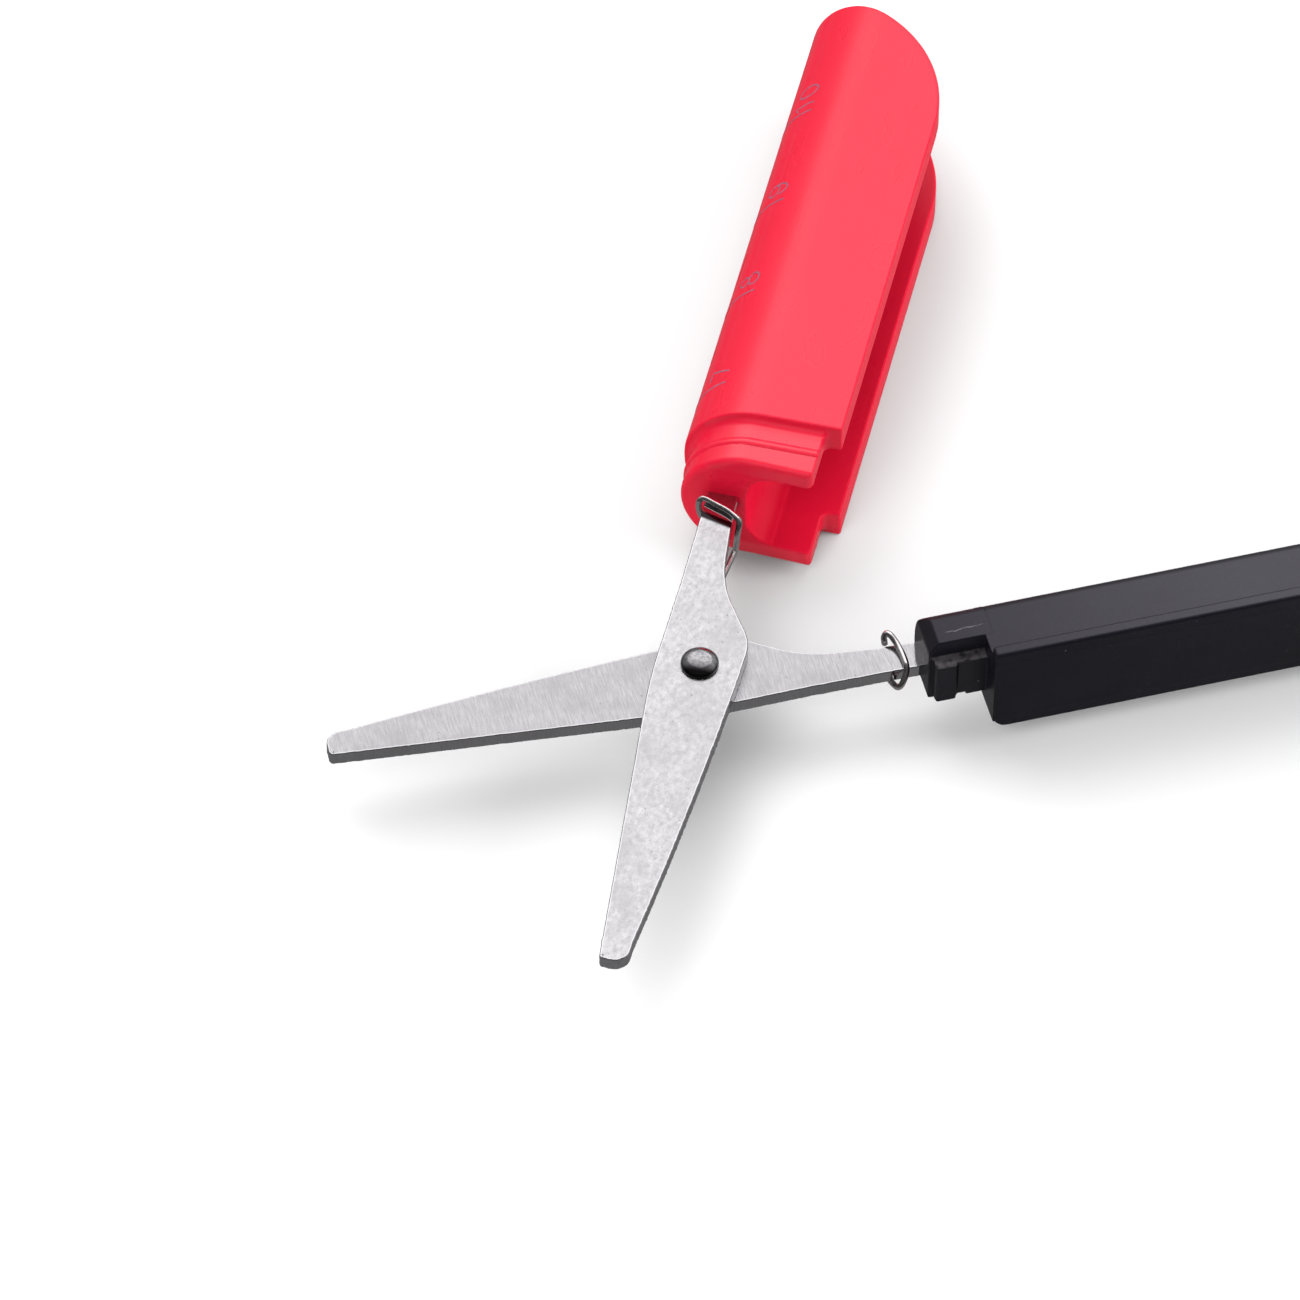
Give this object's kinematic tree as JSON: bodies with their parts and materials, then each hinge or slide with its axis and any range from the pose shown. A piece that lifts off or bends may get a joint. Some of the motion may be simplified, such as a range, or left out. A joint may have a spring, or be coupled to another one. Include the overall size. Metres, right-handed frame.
{
  "type": "thread snips",
  "caption": "Pen-style spring snips, open: a channel-shaped outer handle and an inner handle that close into one round body, with twin blades on a rivet.",
  "frame": {"origin": "middle of the open snips' box, at its base, which is the flat underside of the outer handle", "axes": "+Z along the pivot towards the rivet's domed head, +Y along the outer handle away from the pivot, +X towards the open side of its channel"},
  "size_m": [0.0846, 0.0958, 0.0127],
  "materials": {
    "red_plastic": "smooth glossy moulded plastic with a fine printed ruler",
    "black_plastic": "satin moulded plastic with fine scratches",
    "blade_steel": "tumbled and cross-ground stainless steel",
    "rivet_steel": "polished domed steel",
    "spring_wire": "drawn spring wire"
  },
  "bodies": {
    "outer_half": {"outer_handle": "red_plastic", "upper_blade": "blade_steel", "pivot_rivet": "rivet_steel", "opening_spring": "spring_wire"},
    "inner_half": {"inner_handle": "black_plastic", "lower_blade": "blade_steel"}
  },
  "joints": [
    {"name": "blade_pivot", "type": "hinge", "parent": "outer_half", "child": "inner_half", "pos_m": [-0.01621, -0.0186, 0.00635], "axis": [0, 0, 1], "range_deg": [-28, 62], "stiffness_Nm_per_rad": 0.02, "deforming": ["opening_spring"]}
  ]
}
